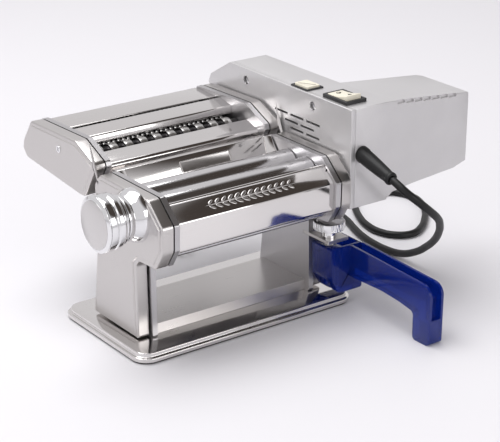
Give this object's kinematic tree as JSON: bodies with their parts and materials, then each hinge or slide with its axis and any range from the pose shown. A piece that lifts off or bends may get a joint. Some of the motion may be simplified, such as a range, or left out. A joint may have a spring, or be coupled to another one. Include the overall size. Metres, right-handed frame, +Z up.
{
  "type": "pasta roller machine",
  "caption": "Motor-driven pasta roller: smooth rollers with a gap knob, a hooked-on twin cutting head, a gear motor unit on the right and a clamped foot arm.",
  "frame": {"origin": "middle of the base, on the surface that the machine stands on", "axes": "+X along the rollers towards the motor unit, +Y to the back, towards the cutting head, +Z up"},
  "size_m": [0.4597, 0.4155, 0.1894],
  "materials": {
    "polished_steel": "mirror polished",
    "satin_steel": "satin chromed",
    "frame_steel": "zinc plated",
    "roller_steel": "ground and chromed",
    "gear_steel": "machined",
    "zinc": "die cast",
    "bronze": "sintered bronze",
    "wheel_chrome": "knurled, chromed",
    "silver_plastic": "silver painted, satin",
    "gear_nylon": "moulded nylon",
    "black_plastic": "moulded",
    "cream_plastic": "moulded",
    "blue_plastic": "clear moulded",
    "cord_black": "smooth",
    "foot_rubber": "moulded"
  },
  "bodies": {
    "root": {"base_plate": "polished_steel", "rubber_edging": "foot_rubber", "cross_member": "polished_steel", "left_frame_plate": "frame_steel", "right_frame_plate": "frame_steel", "left_side_cover": "satin_steel", "right_side_cover": "satin_steel", "front_cover": "polished_steel", "rear_cover": "frame_steel", "hopper_plate": "polished_steel", "name_plaque": "polished_steel", "tie_rods": "roller_steel", "roller_scrapers": "polished_steel", "roller_bushes": "bronze", "knob_hub": "polished_steel", "cutter_left_plate": "frame_steel", "cutter_right_plate": "frame_steel", "cutter_left_cover": "satin_steel", "cutter_right_cover": "satin_steel", "cutter_rear_panel": "polished_steel", "cutter_roof": "polished_steel", "cutter_front_panel": "polished_steel", "cutter_combs": "frame_steel", "cutter_hooks": "frame_steel", "cover_screws": "roller_steel", "gearbox_cover": "silver_plastic", "motor_housing": "silver_plastic", "gear_carrier": "frame_steel", "gear_pins": "roller_steel", "motor_can": "frame_steel", "switch_bezels": "black_plastic", "arm_bracket": "frame_steel", "strain_relief": "cord_black", "cord_tube": "cord_black", "cord_coil": "cord_black", "mains_plug": "black_plastic"},
    "roller_drive": {"rear_roller": "roller_steel", "rear_roller_gear": "gear_steel", "output_gear": "gear_nylon"},
    "yoke": {"roller_yoke": "zinc"},
    "front_roller": {"front_roller": "roller_steel", "front_roller_gear": "gear_steel"},
    "knob_turn": {"knob_shaft": "roller_steel"},
    "knob_grip": {"knob_body": "polished_steel", "knob_cap": "polished_steel", "knob_spring": "roller_steel"},
    "wide_front": {"wide_cutter_front": "roller_steel"},
    "wide_rear": {"wide_cutter_rear": "roller_steel", "wide_drive_gear": "gear_nylon"},
    "narrow_front": {"narrow_cutter_front": "roller_steel", "narrow_drive_gear": "gear_nylon"},
    "narrow_rear": {"narrow_cutter_rear": "roller_steel"},
    "rotor": {"motor_rotor": "roller_steel"},
    "first_gear": {"first_gear": "gear_nylon"},
    "second_gear": {"second_gear": "gear_nylon"},
    "idler_gear": {"idler_gear": "gear_nylon"},
    "rocker": {"rocker_key": "cream_plastic"},
    "push_button": {"push_key": "cream_plastic"},
    "arm": {"stabiliser_arm": "blue_plastic"},
    "thumb_wheel": {"arm_screw": "wheel_chrome"}
  },
  "joints": [
    {"name": "motor_spin", "type": "hinge", "parent": "root", "child": "rotor", "pos_m": [0, -0.04, 0.141], "axis": [1, 0, 0], "continuous": true},
    {"name": "first_gear_spin", "type": "hinge", "parent": "root", "child": "first_gear", "pos_m": [0, -0.01281, 0.15368], "axis": [1, 0, 0], "continuous": true},
    {"name": "second_gear_spin", "type": "hinge", "parent": "root", "child": "second_gear", "pos_m": [0, 0.01447, 0.14121], "axis": [1, 0, 0], "continuous": true},
    {"name": "roller_spin", "type": "hinge", "parent": "root", "child": "roller_drive", "pos_m": [0, -0.0089, 0.1224], "axis": [1, 0, 0], "continuous": true},
    {"name": "gap_slide", "type": "slide", "parent": "root", "child": "yoke", "axis": [0, 1, 0], "range_m": [-0.0013, 0.0013]},
    {"name": "front_roller_spin", "type": "hinge", "parent": "yoke", "child": "front_roller", "pos_m": [0, -0.0357, 0.1224], "axis": [1, 0, 0], "continuous": true},
    {"name": "idler_spin", "type": "hinge", "parent": "root", "child": "idler_gear", "pos_m": [0, 0.03825, 0.12554], "axis": [1, 0, 0], "continuous": true},
    {"name": "wide_front_spin", "type": "hinge", "parent": "root", "child": "wide_front", "pos_m": [0, 0.05405, 0.132], "axis": [1, 0, 0], "continuous": true},
    {"name": "wide_rear_spin", "type": "hinge", "parent": "root", "child": "wide_rear", "pos_m": [0, 0.07242, 0.13418], "axis": [1, 0, 0], "continuous": true},
    {"name": "narrow_front_spin", "type": "hinge", "parent": "root", "child": "narrow_front", "pos_m": [0, 0.09327, 0.13666], "axis": [1, 0, 0], "continuous": true},
    {"name": "narrow_rear_spin", "type": "hinge", "parent": "root", "child": "narrow_rear", "pos_m": [0, 0.11164, 0.13884], "axis": [1, 0, 0], "continuous": true},
    {"name": "knob_turn", "type": "hinge", "parent": "root", "child": "knob_turn", "pos_m": [0, -0.0357, 0.1224], "axis": [1, 0, 0], "range_deg": [-75, 75]},
    {"name": "knob_pull", "type": "slide", "parent": "knob_turn", "child": "knob_grip", "axis": [-1, 0, 0], "range_m": [0, 0.003], "stiffness_N_per_m": 800, "springref_m": -0.004, "deforming": ["knob_spring"]},
    {"name": "rocker_tilt", "type": "hinge", "parent": "root", "child": "rocker", "pos_m": [0.1145, -0.0415, 0.1821], "axis": [1, 0, 0], "range_deg": [0, 16]},
    {"name": "button_press", "type": "slide", "parent": "root", "child": "push_button", "axis": [0, 0, -1], "range_m": [0, 0.002], "stiffness_N_per_m": 300, "springref_m": -0.003},
    {"name": "wheel_turn", "type": "hinge", "parent": "root", "child": "thumb_wheel", "pos_m": [0.0895, -0.0545, 0.076], "axis": [0, 0, 1], "range_deg": [0, 480]},
    {"name": "arm_lift", "type": "slide", "parent": "root", "child": "arm", "axis": [0, 0, 1], "range_m": [0, 0.004]}
  ],
  "couplings": [
    {"joint": "first_gear_spin", "follows": "motor_spin", "ratio": -0.33333},
    {"joint": "second_gear_spin", "follows": "motor_spin", "ratio": 0.11111},
    {"joint": "roller_spin", "follows": "motor_spin", "ratio": -0.037037},
    {"joint": "front_roller_spin", "follows": "motor_spin", "ratio": 0.037037},
    {"joint": "idler_spin", "follows": "motor_spin", "ratio": 0.03367},
    {"joint": "wide_rear_spin", "follows": "motor_spin", "ratio": -0.079365},
    {"joint": "wide_front_spin", "follows": "motor_spin", "ratio": 0.079365},
    {"joint": "narrow_front_spin", "follows": "motor_spin", "ratio": 0.079365},
    {"joint": "narrow_rear_spin", "follows": "motor_spin", "ratio": -0.079365},
    {"joint": "knob_turn", "follows": "gap_slide", "rad_per_m": -1004},
    {"joint": "wheel_turn", "follows": "arm_lift", "rad_per_m": 2094}
  ]
}
